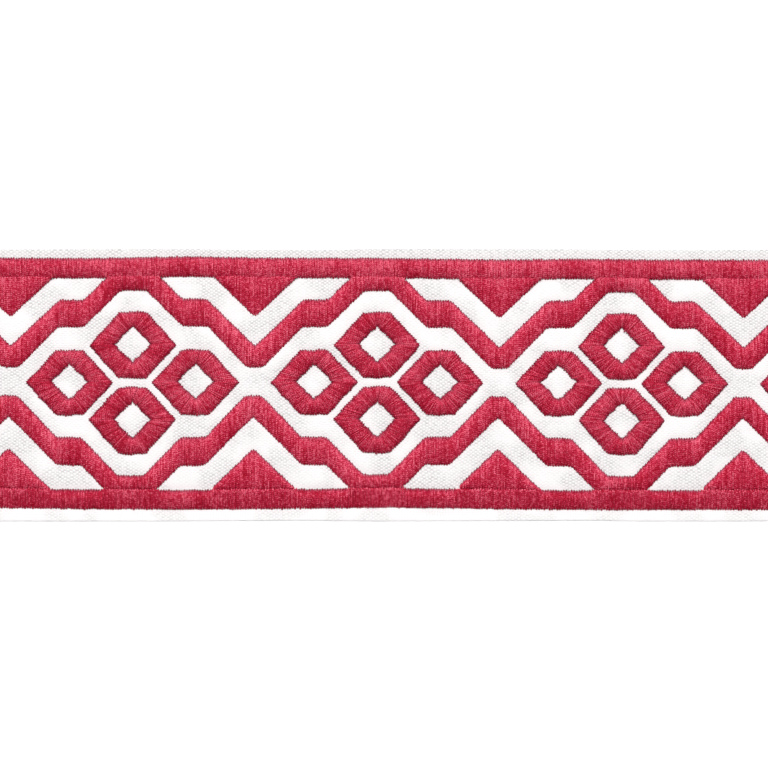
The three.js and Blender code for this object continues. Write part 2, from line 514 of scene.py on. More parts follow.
@dataclass(frozen=True)
class TapeCloth:
    """Matt white plain weave, with painted grey shade in its small gaps and a breath of painted pink
    bounce light beside the stitches.

    Its underside shows the white threads behind the stitches, with painted grey shade between them and
    red ends where those turn over.
    """

    colour: tuple = (0.92, 0.905, 0.905, 1)
    gap: tuple = (0.60, 0.58, 0.58, 1)
    # painted_bounce is painted light: the pink that the red stitches throw onto the cloth beside them.
    painted_bounce: tuple = (0.90, 0.74, 0.76, 1)
    thread_end: tuple = (0.62, 0.06, 0.12, 1)
    warp_pitch: float = 0.75
    weft_pitch: float = 0.47
    gap_share: float = 0.6
    # The weave is open in patches, where more of its painted gap shade shows, more in the upper margin
    # and less in the lower one, in metres.
    patch_scale: float = 90.0
    patch_detail: float = 1.5
    patch_span: tuple = (0.38, 0.62)
    patch_open: tuple = (0.22, 1.0)
    upper_margin: tuple = (0.030, 0.034)
    upper_open: tuple = (0.0, 0.6)
    lower_margin: tuple = (-0.034, -0.030)
    lower_open: tuple = (-0.45, 0.0)
    under: float = 0.68
    under_scale: float = 900.0
    under_span: tuple = (0.3, 0.7)
    under_share: tuple = (0.5, 1.4)
    bobbin_pitch: float = 0.36
    bobbin_relief: float = 2.0
    fibre_scale: float = 2200.0
    fibre_relief: float = 0.25
    bump: float = 0.35
    bump_depth: float = 0.00015
    roughness: float = 0.9
    specular: float = 0.25

    def openness(self, nodes: Nodes, place: Socket, across: Socket) -> Socket:
        """Where the weave is open, in patches, so that more of its painted gap shade shows.

        Args:
            nodes: the material's nodes.
            place: the place on the tape.
            across: how far that is across the tape.

        Returns:
            The socket of a value between 0, closed, and 1, open.
        """
        patch = nodes.noise(place, self.patch_scale, self.patch_detail)
        patch = nodes.ramp(patch, self.patch_span, self.patch_open)
        upper = nodes.ramp(across, self.upper_margin, self.upper_open)
        lower = nodes.ramp(across, self.lower_margin, self.lower_open)
        return nodes.math("ADD", patch, nodes.math("ADD", upper, lower), clamp=True)

    def material(self, weave: bpy.types.NodeTree, fibres: bpy.types.NodeTree) -> bpy.types.Material:
        """Builds the material.

        Args:
            weave: the node group of the plain weave.
            fibres: the node group of spun fibres.

        Returns:
            The material.
        """
        made, nodes = new_material("tape_cloth")
        place = nodes.add("TexCoord").outputs["Object"]
        pitches = {"Warp_Pitch": self.warp_pitch * MM, "Weft_Pitch": self.weft_pitch * MM}
        cloth = nodes.add("Group", node_tree=weave, Vector=place, **pitches)
        fine_place = nodes.stretched(place, (self.fibre_scale,) * 3)
        spun = nodes.add("Group", node_tree=fibres, Vector=fine_place)
        along, across, _ = nodes.add("SeparateXYZ", Vector=place).outputs
        painted_bounce, sewn, ends = nodes.tone()
        openness = self.openness(nodes, place, across)
        share = nodes.math("MULTIPLY", openness, self.gap_share)
        gap = nodes.math("MULTIPLY", cloth.outputs["Gap"], share)
        deepest = tuple(share * self.under for share in self.under_share)
        uneven = nodes.ramp(nodes.noise(place, self.under_scale, 1.0), self.under_span, deepest)
        # Painted shade where the warp passes under the weft, uneven over the cloth.
        under = nodes.math("MULTIPLY", nodes.math("SUBTRACT", 1.0, cloth.outputs["Warp"]), uneven)
        shaded = nodes.math("MAXIMUM", gap, nodes.math("MULTIPLY", under, openness))
        woven = nodes.mix(shaded, nodes.mix(painted_bounce, self.colour, self.painted_bounce), self.gap)
        # On the back, painted shade in the grooves between the bobbin threads.
        turns = nodes.math("MULTIPLY", along, 2 * math.pi / (self.bobbin_pitch * MM))
        ridge = nodes.math("MULTIPLY_ADD", nodes.math("SINE", turns), 0.5, 0.5)
        ground = nodes.mix(sewn, woven, nodes.mix(ridge, self.gap, self.colour))
        colour = nodes.mix(nodes.math("MULTIPLY", ends, ridge), ground, self.thread_end)
        height = cloth.outputs["Height"]
        relief = nodes.math("MULTIPLY_ADD", spun.outputs["Height"], self.fibre_relief, height)
        ridges = nodes.math("MULTIPLY", ridge, sewn)
        relief = nodes.math("MULTIPLY_ADD", ridges, self.bobbin_relief, relief)
        bump = nodes.add("Bump", Strength=self.bump, Distance=self.bump_depth, Height=relief).outputs[0]
        shader = nodes.add("BsdfPrincipled", Base_Color=colour, Normal=bump)
        shader.inputs["Roughness"].default_value = self.roughness
        shader.inputs["Specular IOR Level"].default_value = self.specular
        nodes.add("OutputMaterial", Surface=shader.outputs[0])
        return made


@dataclass(frozen=True)
class StudioFloor:
    """A plain white table, lit from below as well, as for a product photograph."""

    colour: tuple = (0.95, 0.95, 0.95, 1)
    roughness: float = 0.9
    glow: float = 0.6

    def material(self) -> bpy.types.Material:
        """Builds the material.

        Returns:
            The material.
        """
        made, nodes = new_material("studio_floor")
        shader = nodes.add("BsdfPrincipled", Base_Color=self.colour, Roughness=self.roughness)
        shader.inputs["Emission Color"].default_value = self.colour
        shader.inputs["Emission Strength"].default_value = self.glow
        nodes.add("OutputMaterial", Surface=shader.outputs[0])
        return made


# Meshes


@dataclass
class MeshParts:
    """Vertices, four-cornered faces, and what is said about them, of one piece."""

    points: list[Array] = field(default_factory=list)
    quads: list[Array] = field(default_factory=list)
    tones: list[Array] = field(default_factory=list)
    bake: list[Array] = field(default_factory=list)
    thread: list[Array] = field(default_factory=list)
    count: int = 0

    def add(self, points: Array, quads: Array, tones: Array, bake: Array, thread: Array) -> None:
        """Adds a part.

        Args:
            points: its vertices, in millimetres.
            quads: its faces, as four numbers of its own vertices each.
            tones: a colour of three numbers for each vertex.
            bake: a place on the unit square for each face corner.
            thread: a place along and round a thread for each face corner.
        """
        self.points.append(points.reshape(-1, 3))
        self.quads.append(quads.reshape(-1, 4) + self.count)
        self.tones.append(tones.reshape(-1, 3))
        self.bake.append(bake.reshape(-1, 2))
        self.thread.append(thread.reshape(-1, 2))
        self.count += len(self.points[-1])

    def piece(self, name: str, finish: bpy.types.Material) -> bpy.types.Object:
        """Makes the Blender object.

        Args:
            name: the piece's name.
            finish: its material.

        Returns:
            The object, smooth shaded, in metres.
        """
        points = np.concatenate(self.points) * MM
        quads = np.concatenate(self.quads)
        mesh = bpy.data.meshes.new(name)
        mesh.vertices.add(len(points))
        mesh.vertices.foreach_set("co", points.astype(np.float32).ravel())
        mesh.loops.add(quads.size)
        mesh.loops.foreach_set("vertex_index", quads.astype(np.int32).ravel())
        mesh.polygons.add(len(quads))
        mesh.polygons.foreach_set("loop_start", np.arange(0, quads.size, 4, dtype=np.int32))
        mesh.update(calc_edges=True)
        mesh.polygons.foreach_set("use_smooth", np.ones(len(quads), bool))
        tone = mesh.attributes.new("tone", "FLOAT_COLOR", "POINT")
        colours = np.column_stack([np.concatenate(self.tones), np.ones(len(points))])
        tone.data.foreach_set("color", colours.astype(np.float32).ravel())
        for layer, corners in (("OFBake", self.bake), ("thread", self.thread)):
            uv = mesh.uv_layers.new(name=layer)
            uv.uv.foreach_set("vector", np.concatenate(corners).astype(np.float32).ravel())
        mesh.materials.append(finish)
        piece = bpy.data.objects.new(name, mesh)
        bpy.context.scene.collection.objects.link(piece)
        return piece


def grid_quads(rows: int, columns: int, wrap: bool = False) -> Array:
    """The faces of a grid of points.

    Args:
        rows: how many rows of points.
        columns: how many points in each row.
        wrap: whether each row's last point joins its first.

    Returns:
        An array of rows - 1 by faces in a row by 4 numbers of points.
    """
    here = np.arange(rows * columns).reshape(rows, columns)
    nearer = here if wrap else here[:, :-1]
    farther = np.roll(here, -1, axis=1) if wrap else here[:, 1:]
    return np.stack([nearer[:-1], farther[:-1], farther[1:], nearer[1:]], axis=-1)


# Satin stitches


@dataclass(frozen=True)
class Column:
    """A column's two edges, a point on each for every half stitch, and how far each meets a neighbour."""

    near: Array
    far: Array
    closed: bool = False
    joined: tuple = (0.0, 0.0)
    phase: int = 0

    def joins(self, chosen: slice | Array) -> list[Array]:
        """How far each edge is joined to a neighbour, from 0, at the chosen points."""
        return [np.broadcast_to(edge, len(self.near))[chosen].astype(float) for edge in self.joined]


@dataclass(frozen=True)
class Threads:
    """A column's threads: arrays with a row for each thread and a number for each of its bends."""

    line: Array
    radius: Array
    from_near: Array
    depth: Array
    painted_light: Array


@dataclass(frozen=True)
class Padding:
    """The sheet of padding under a column's threads, so that no cloth shows between them."""

    every: int = 3
    inset: float = 0.45
    inset_most: float = 0.3
    lap: float = 0.1
    bends: tuple = (0, 0.04, 0.14, 0.32, 0.5, 0.68, 0.86, 0.96, 1)
    clear: float = 0.01
    below: float = 0.22
    foot: float = 0.3
    # The padding's tone is painted shade: dark, and a little towards the hole colour, as it is only seen
    # deep between the threads.
    tone: tuple = (0.1, 0.9, 0.0)
    strip: tuple = (0.975, 0.02)

    def add(self, parts: MeshParts, column: Column, stitch: "SatinStitch") -> None:
        """Adds the sheet.

        Args:
            parts: the piece's mesh parts, which it adds to.
            column: the column's two edges.
            stitch: how the column is sewn.
        """
        keep = np.arange(0, len(column.near), self.every)
        if column.closed:
            keep = np.append(keep, 0)
        elif keep[-1] != len(column.near) - 1:
            keep = np.append(keep, len(column.near) - 1)
        joined = column.joins(keep)
        first = column.near[keep]
        reach = column.far[keep] - first
        span = np.maximum(np.hypot(reach[:, 0], reach[:, 1]), stitch.least_span)
        inset = np.minimum(self.inset / span, self.inset_most)
        start = inset - np.minimum(joined[0], 1) * (inset + self.lap / span)
        stop = 1 - inset + np.minimum(joined[1], 1) * (inset + self.lap / span)
        share = start[:, None] + (stop - start)[:, None] * np.array(self.bends)
        flat = CHART.strayed(first[:, None, :] + reach[:, None, :] * share[..., None])
        dome = stitch.dome(np.clip(share, self.clear, 1 - self.clear), span, joined)
        height = stitch.cloth_top + dome - self.below
        height[:, [0, -1]] = stitch.cloth_top - self.foot
        points = np.concatenate([flat, height[..., None]], axis=-1)
        rows, columns = height.shape
        quads = grid_quads(rows, columns)[..., ::-1]
        steps = [np.arange(count) / (count - 1) for count in (rows, columns)]
        corner = np.stack(np.meshgrid(*steps, indexing="ij"), axis=-1).reshape(-1, 2)
        corner = corner[quads.reshape(-1, 4)]
        bake = np.stack([corner[..., 0], self.strip[0] + self.strip[1] * corner[..., 1]], axis=-1)
        thread = np.stack([corner[..., 0] * rows, corner[..., 1] * stitch.full_span], axis=-1)
        parts.add(points, quads, np.broadcast_to(np.array(self.tone), points.shape), bake, thread)


@dataclass(frozen=True)
class SatinStitch:
    """How a padded satin column is sewn: a thread to and fro between two rows of needle holes."""

    pitch: float = 0.36
    rise: float = 1.2
    step: float = 0.1
    full_span: float = 5.0
    least_span: float = 0.3
    cloth_top: float = 0.95
    hole_depth: float = 0.12
    hole_reach: float = 0.1
    fatness: float = 1.06
    widths: tuple = (0.24, 0.52)
    pinch: float = 0.6
    pinch_reach: float = 0.17
    roundness: float = 2.0
    seam: float = 0.14
    skew: float = 0.0
    skew_peak: float = 0.22
    skew_round: float = 0.9
    overrun: float = 0.1
    gather: float = 0.17
    gather_curve: float = 1.5
    # How unevenly the threads are laid: sideways, along their length, in their ends, width and height.
    drift: float = 0.045
    wave: float = 0.02
    ragged: float = 0.08
    short: float = 0.0
    width_spread: float = 0.06
    level_spread: float = 0.02
    # Their shade, which goes from 0 to 1, with painted shade down in the needle holes and painted light
    # on edges and tips that face the light.
    tone: float = 0.42
    alternate: float = 0.06
    stroke: float = 0.02
    fleck: float = 0.15
    slow: float = 0.07
    slow_every: int = 12
    # dip and clear set the painted shade in the needle holes: how far up the thread it reaches, and how
    # much the edges facing away from the light are spared.
    dip: float = 0.22
    clear: float = 0.85
    painted_edge_light: float = 0.38
    painted_edge_light_reach: float = 1.0
    painted_tip_light: float = 0.45
    painted_tip_light_reach: float = 0.45
    painted_tip_light_balance: float = 0.3
    bends: tuple = (0.0, 0.12, 0.32, 1.1)
    bends_most: tuple = (0, 0.1, 0.22, 0.36)
    section: tuple = (0, 45, 90, 135, 180, 270)
    # Where the threads lie on the texture and on the unit square.
    texture_gap: int = 8
    texture_slip: float = 9.0
    cell_shape: float = 4.5
    cell_margin: tuple = (0.08, 0.02)
    cells_top: float = 0.97
    padding: Padding = Padding()

    def spots(self, span: Array) -> Array:
        """Where each thread bends, from one hole to the other.

        Args:
            span: the length of each thread.

        Returns:
            The shares of the way across, a row for each thread.
        """
        near = np.minimum(np.array(self.bends) / span[:, None], np.array(self.bends_most))
        return np.concatenate([near, np.full((len(span), 1), 0.5), 1 - near[:, ::-1]], axis=1)

    def dome(self, share: Array, span: Array, joined: Sequence) -> Array:
        """The padded column's height over the cloth, which skew leans towards its far edge.

        Args:
            share: shares of the way across.
            span: the column's width for each row of shares.
            joined: how far each edge is joined to a neighbour, where the padding runs on.

        Returns:
            Heights.
        """
        start, stop = (self.seam * edge[:, None] for edge in joined)
        share = start + (1 - start - stop) * share
        peak = 0.5 + self.skew_peak * self.skew
        before = share < peak
        down = np.where(before, (peak - share) / peak, (share - peak) / (1 - peak))
        power = np.where(before, self.roundness - self.skew_round * self.skew, self.roundness)
        lift = self.rise * np.minimum(1, np.sqrt(span / self.full_span))[:, None]
        return lift * (self.step + (1 - self.step) * (1 - np.clip(down, 0, 1) ** power))

    def sew(self, parts: MeshParts, column: Column, rng: np.random.Generator) -> None:
        """Sews one column's threads over its padding.

        Args:
            parts: the piece's mesh parts, which it adds to.
            column: its two edges.
            rng: the column's own random numbers.
        """
        self.padding.add(parts, column, self)
        self.tubes(parts, self.lay(column, rng), rng)

    def lay(self, column: Column, rng: np.random.Generator) -> Threads:
        """Lays a column's threads from hole to hole.

        Args:
            column: its two edges.
            rng: the column's own random numbers.

        Returns:
            The threads.
        """
        reach = column.far - column.near
        reach /= np.maximum(np.linalg.norm(reach, axis=1, keepdims=True), self.least_span)
        near = column.near - reach * self.overrun
        far = column.far + reach * self.overrun
        count = len(near) if column.closed else len(near) - 1
        number = np.arange(count)
        following = (number + 1) % len(near)
        middles = np.stack([(edge[:count] + edge[following]) / 2 for edge in (near, far)], axis=1)
        reach = middles[:, 1] - middles[:, 0]
        span = np.maximum(np.hypot(reach[:, 0], reach[:, 1]), self.least_span)
        across = reach / span[:, None]
        along = np.stack([across[:, 1], -across[:, 0]], axis=-1)
        share = self.spots(span)
        steps = [np.linalg.norm(edge[following] - edge[:count], axis=1)[:, None] for edge in (near, far)]
        from_ends = (share * span[:, None], (1 - share) * span[:, None])
        # An even thread starts at the hole before it and ends at the hole after it on the far edge.
        even = (number + column.phase) % 2 == 0
        ends = np.where(even, -1.0, 1.0)[:, None]
        towards = [np.exp(-((away / self.gather) ** self.gather_curve)) for away in from_ends]
        shift = ends * steps[0] / 2 * towards[0] - ends * steps[1] / 2 * towards[1]
        drift = rng.normal(0, self.drift, (count, 1)) * np.sin(math.pi * share)
        wave = rng.normal(0, self.wave, share.shape) * np.sin(math.pi * share)
        sideways = shift + drift + wave
        reach_in = rng.normal(0, self.ragged, (len(near), 2))
        # Where a column turns, every second hole of its tight edge is set back, to make room.
        reach_in[::4, 0] += self.short
        reach_in[2::4, 0] -= self.short
        start = reach_in[np.where(even, number, following), 0][:, None] * (1 - share) ** 3
        stop = reach_in[np.where(even, following, number), 1][:, None] * share**3
        straight = middles[:, 0][:, None, :] + reach[:, None, :] * share[..., None]
        lengthened = straight + across[:, None, :] * (start + stop)[..., None]
        flat = CHART.strayed(lengthened + along[:, None, :] * sideways[..., None])
        width = self.fatness * (steps[0] * (1 - share) + steps[1] * share)
        width = np.clip(width, *self.widths) * rng.normal(1, self.width_spread, (count, 1))
        joined = column.joins(slice(count))
        open_ends = [1 - np.clip(edge[:, None], 0, 1) for edge in joined]
        pinches = [
            self.pinch * end * np.exp(-away / self.pinch_reach)
            for end, away in zip(open_ends, from_ends)
        ]
        radius = width / 2 * (1 - pinches[0] - pinches[1])
        dome = self.dome(share, span, joined)
        level = self.cloth_top + dome * rng.normal(1, self.level_spread, (count, 1))
        sinks = [
            (edge * end + self.hole_depth) * np.exp(-away / self.hole_reach)
            for edge, end, away in zip((dome[:, :1], dome[:, -1:]), open_ends, from_ends)
        ]
        height = level - radius - (sinks[0] + sinks[1])
        line = np.concatenate([flat, height[..., None]], axis=-1)
        return Threads(line, radius, from_ends[0], *self.light(from_ends, across[:, 1], even, joined))

    def light(
        self, from_ends: Sequence, heading: Array, even: Array, joined: Sequence
    ) -> tuple[Array, Array]:
        """Paints shade on the threads down in their holes, most at the edges that face the light, and
        paints light where they face the light.

        Args:
            from_ends: the distances of each thread's bends from its two ends.
            heading: how far each thread heads for the tape's upper edge, which the light comes from.
            even: which threads are even.
            joined: how far each of their ends is joined to a neighbour.

        Returns:
            0 in full painted shade down in a hole to 1 out of it, and how much painted light the thread
            gets, for each bend.
        """
        depth = np.ones_like(from_ends[0])
        painted_light = np.zeros_like(from_ends[0])
        for away, facing, edge in zip(from_ends, (-heading, heading), joined):
            joins = np.clip(edge[:, None], 0, 1)
            clear = self.clear * (0.5 - 0.5 * facing)[:, None]
            depth = np.minimum(depth, np.maximum((away - self.dip) / self.dip, np.maximum(clear, joins)))
            facing = np.clip(facing, 0, 1)[:, None]
            # Painted light on edges that face the light, and on the even tips of joined edges that face
            # it, with the odd ones painted darker.
            tip = self.painted_tip_light * (even[:, None] - self.painted_tip_light_balance)
            painted_light += self.painted_edge_light * facing * np.exp(-away / self.painted_edge_light_reach)
            painted_light += tip * joins * facing * np.exp(-away / self.painted_tip_light_reach)
        return np.clip(depth, 0, 1), painted_light

    def shades(self, threads: Threads, rng: np.random.Generator) -> Array:
        """Shades the threads: every second one darker, as painted shade where the light catches its slant
        less, all a little uneven, with their painted light added.

        Args:
            threads: the threads.
            rng: the column's own random numbers.

        Returns:
            The shade of each bend, from 0 to 1.
        """
        count, bends = threads.radius.shape
        number = np.arange(count)
        swing = np.where(number % 2 == 0, self.alternate, -self.alternate)[:, None]
        marks = np.arange(0, count + self.slow_every, self.slow_every)
        slow = np.interp(number, marks, rng.normal(0, self.slow, len(marks)))
        own = rng.normal(0, self.stroke, (count, 1)) + slow[:, None]
        flecks = rng.normal(0, self.fleck, (count, bends))
        return np.clip(self.tone + swing + own + threads.painted_light + flecks, 0, 1)

    def tubes(self, parts: MeshParts, threads: Threads, rng: np.random.Generator) -> None:
        """Adds the threads' own meshes.

        Args:
            parts: the piece's mesh parts, which it adds to.
            threads: the threads.
            rng: the column's own random numbers.
        """
        count, bends = threads.radius.shape
        turn = np.radians(self.section)
        sides = len(turn)
        heading = np.gradient(threads.line, axis=1)
        heading /= np.linalg.norm(heading, axis=-1, keepdims=True)
        beside = np.stack([heading[..., 1], -heading[..., 0], np.zeros_like(threads.radius)], axis=-1)
        beside /= np.linalg.norm(beside, axis=-1, keepdims=True)
        above = np.cross(beside, heading)
        out, up = np.cos(turn)[:, None], np.sin(turn)[:, None]
        ring = out * beside[:, :, None, :] + up * above[:, :, None, :]
        points = threads.line[:, :, None, :] + threads.radius[:, :, None, None] * ring
        number = np.arange(count)[:, None, None, None]
        quads = grid_quads(bends, sides, wrap=True)[None] + number * bends * sides
        shade = self.shades(threads, rng)
        # The tone holds each bend's shade with its painted light, and how far it is out of the painted
        # hole shade.
        tone = np.stack([shade, threads.depth, np.zeros_like(shade)], axis=-1)
        tones = np.repeat(tone[:, :, None, :], sides, axis=2)
        side = np.arange(sides)
        rounds = np.stack([side, side + 1, side + 1, side], axis=-1) / sides
        rounds = np.broadcast_to(rounds, (count, bends - 1, sides, 4))
        start, stop = threads.from_near[:, :-1], threads.from_near[:, 1:]
        lengths = np.stack([start, start, stop, stop], axis=-1)
        lengths = np.broadcast_to(lengths[:, :, None, :], rounds.shape)
        slip = rng.uniform(0, self.texture_slip, (count, 1, 1, 1))
        thread = np.stack([rounds + self.texture_gap * number, lengths + slip], axis=-1)
        whole = threads.from_near.max(axis=1)[:, None, None, None]
        parts.add(points, quads, tones, self.cells(rounds, lengths / whole), thread)

    def cells(self, rounds: Array, lengths: Array) -> Array:
        """Lays the unrolled threads side by side on the unit square, whose top strip is the padding's.

        Args:
            rounds: the share of the way round for each face corner, a row for each thread.
            lengths: the share of the way along for each face corner.

        Returns:
            Places on the unit square, for each face corner.
        """
        count = len(rounds)
        columns = math.ceil(math.sqrt(count * self.cell_shape))
        rows = math.ceil(count / columns)
        place = np.arange(count)[:, None, None, None]
        beside, above = self.cell_margin
        across = (place % columns + beside + (1 - 2 * beside) * rounds) / columns
        up = (place // columns + above + (1 - 2 * above) * lengths) / rows * self.cells_top
        return np.stack([across, up], axis=-1)


@dataclass
class Embroidery:
    """The stitched figures: plain borders, stepped zigzags, triangles and lozenge rings."""

    finish: bpy.types.Material
    stitch: SatinStitch = SatinStitch()
    # The upper border's higher tone is painted light.
    upper_border: SatinStitch = SatinStitch(tone=0.5)
    # The lower border slopes down towards the tape's edge, and its lower tone and weaker painted edge and
    # tip light paint it darker, as painted shade.
    lower_border: SatinStitch = SatinStitch(tone=0.38, skew=0.5, painted_edge_light=0.2, painted_tip_light=0.12)
    ring_stitch: SatinStitch = SatinStitch(pitch=0.37, alternate=0.09, stroke=0.12, fleck=0.1, short=0.1)
    ring_wobble: tuple = (0.09, 0.06)
    ring_waves: tuple = (5, 6, 8, 9, 11, 14)
    meet: float = 0.16
    overlap: float = 0.7
    lower_hold: float = 0.7
    lower_press: float = 2.0
    crest_reach: float = 7.4
    triangle_reach: float = 11.4

    def lap(self, side: Side) -> float:
        """How far the zigzags and triangles reach over the border's edge; the lower ones hardly do."""
        return self.overlap if side is Side.UPPER else self.meet

    def hold(self, side: Side) -> float:
        """How far their edges stay up there; the lower ones dip into a shallow groove."""
        return 1.0 if side is Side.UPPER else self.lower_hold

    def along(self, start: float, stop: float) -> Array:
        """Places half a stitch apart along the tape, in step with the borders' own.

        Args:
            start: where they start.
            stop: where they stop.

        Returns:
            The places.
        """
        slack = 0.001
        whole = round(CHART.length / self.stitch.pitch)
        step = CHART.length / whole
        first = 2 * math.ceil((start + CHART.length / 2 - slack) / step / 2)
        last = min(2 * math.floor((stop + CHART.length / 2 + slack) / step / 2), whole)
        return np.arange(first, last + 1) * step - CHART.length / 2

    def across(
        self, x: Array, foot: Array, top: Array, side: Side, joined: Array | float = 0.0
    ) -> Column:
        """A column whose stitches run straight across the tape.

        Args:
            x: places along the tape.
            foot: heights of its edge nearer the middle line.
            top: heights of its edge nearer the border.
            side: its half of the pattern.
            joined: where its edge nearer the border meets it.

        Returns:
            The column.
        """
        upper = side is Side.UPPER
        low, high = (foot, top) if upper else (-top, -foot)
        near = np.stack([x, CHART.middle + low], axis=-1)
        far = np.stack([x, CHART.middle + high], axis=-1)
        return Column(near, far, joined=(0.0, joined) if upper else (joined, 0.0))

    def sewn(self, name: str, stitch: SatinStitch, column: Column) -> bpy.types.Object:
        """Sews a column and puts it in the CAD node's place.

        Args:
            name: the CAD node that it stands for.
            stitch: how it is sewn.
            column: its two edges.

        Returns:
            The piece.
        """
        parts = MeshParts()
        stitch.sew(parts, column, np.random.default_rng(zlib.crc32(name.encode())))
        piece = parts.piece(f"{name}_stitches", self.finish)
        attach(piece, "root")
        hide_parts(name)
        log.info("%s: %d faces", piece.name, len(piece.data.polygons))
        return piece

    def border(self, side: Side) -> bpy.types.Object:
        """A plain border along one edge, pressed down where the zigzags and triangles meet it.

        Args:
            side: its half of the pattern.

        Returns:
            The piece.
        """
        upper = side is Side.UPPER
        x = self.along(-CHART.length / 2, CHART.length / 2)
        foot = np.full_like(x, CHART.border_inner - self.meet / 2 * (1 if upper else -1))
        top = np.full_like(x, CHART.border_inner + CHART.border_width)
        off = np.abs(CHART.from_crest(x - CHART.slip(side)))
        crest_end = CHART.zigzag_top[1][0]
        triangle_start = CHART.repeat / 2 - CHART.triangle[1][0]
        # It goes down over the millimetre where a figure begins.
        meets = np.clip(np.maximum(crest_end - off, off - triangle_start) + 0.5, 0, 1)
        joined = (meets, 0.0) if upper else (0.0, self.lower_press * meets)
        column = replace(self.across(x, foot, top, side), joined=joined, phase=0 if upper else 1)
        stitch = self.upper_border if upper else self.lower_border
        return self.sewn(f"border_{side.name.lower()}", stitch, column)

    def zigzag(self, side: Side) -> bpy.types.Object:
        """A stepped zigzag of five figures.

        Args:
            side: its half of the pattern.

        Returns:
            The piece.
        """
        x = self.along(-CHART.length / 2, CHART.length / 2)
        foot, top = CHART.zigzag(x, side)
        joined = np.abs(CHART.from_crest(x - CHART.slip(side))) < self.crest_reach
        top = np.where(joined, CHART.border_inner + self.lap(side), top)
        column = self.across(x, foot, top, side, joined * self.hold(side))
        return self.sewn(f"zigzag_{side.name.lower()}", self.stitch, column)

    def triangle(self, number: int, valley: float, side: Side) -> bpy.types.Object:
        """A triangle between two figures; those at the tape's ends are cut through their point.

        Args:
            number: its place in the row.
            valley: where its point is, along the tape.
            side: its half of the pattern.

        Returns:
            The piece.
        """
        half = CHART.length / 2
        x = self.along(max(valley - self.triangle_reach, -half), min(valley + self.triangle_reach, half))
        foot = CHART.triangle_foot(x, valley, side)
        top = np.full_like(x, CHART.border_inner + self.lap(side))
        name = f"triangle_{side.name.lower()}_{number}"
        return self.sewn(name, self.stitch, self.across(x, foot, top, side, self.hold(side)))

    def closed(self, quarter: Sequence, off: float) -> Array:
        """Mirrors a quarter of a ring's edge into the whole.

        Args:
            quarter: its points, from the ring's right to its top.
            off: how far up it is from the ring's middle.

        Returns:
            The points of the whole edge, with the first one again at its end.
        """
        rows = np.array(quarter, float)
        turns = [rows[:-1], rows[:0:-1] * (-1, 1), rows[:-1] * (-1, -1), rows[:0:-1] * (1, -1)]
        return np.concatenate([*turns, rows[:1]]) + (0, off)

    def ring(
        self, number: int, crest: float, place: str, off_x: float, off_y: float, hole_off: float
    ) -> bpy.types.Object:
        """A six-sided ring round a square hole, both a little wobbly.

        Args:
            number: the figure that it is in.
            crest: that figure's middle, along the tape.
            place: its place in the figure.
            off_x: how far it is from the figure's middle, along the tape.
            off_y: the same across the tape.
            hole_off: how far its hole is off its middle, across the tape.

        Returns:
            The piece.
        """
        edges = self.closed(CHART.ring_hole, hole_off), self.closed(CHART.ring_out, 0.0)
        length = np.concatenate([[0], np.cumsum(np.linalg.norm(np.diff(edges[1], axis=0), axis=1))])
        count = 2 * round(length[-1] / self.ring_stitch.pitch / 2)
        at = np.linspace(0, length[-1], count, endpoint=False)
        centre = np.array([crest + off_x, CHART.middle + off_y])
        hole, outside = (
            centre + np.stack([np.interp(at, length, edge[:, axis]) for axis in (0, 1)], axis=-1)
            for edge in edges
        )
        reach = outside - hole
        reach /= np.linalg.norm(reach, axis=1, keepdims=True)
        rng = np.random.default_rng(zlib.crc32(f"{place} {number}".encode()))
        waves = len(self.ring_waves)
        turns = 2 * math.pi * np.outer(at / length[-1], self.ring_waves)
        for edge, wobble in zip((hole, outside), self.ring_wobble):
            cosines, sines = rng.normal(0, wobble / math.sqrt(waves), (2, waves))
            edge += (np.cos(turns) @ cosines + np.sin(turns) @ sines)[:, None] * reach
        column = Column(hole[::-1], outside[::-1], closed=True)
        return self.sewn(f"lozenge_{number}_{place}", self.ring_stitch, column)

    def build(self) -> list[bpy.types.Object]:
        """Sews every figure.

        Returns:
            The pieces.
        """
        pieces = []
        for side in Side:
            pieces.append(self.border(side))
            pieces.append(self.zigzag(side))
            pieces += [self.triangle(i + 1, valley, side) for i, valley in enumerate(CHART.valleys)]
        for i, crest in enumerate(CHART.crests):
            pieces += [self.ring(i + 1, crest, *ring) for ring in CHART.rings]
        return pieces


# The cloth


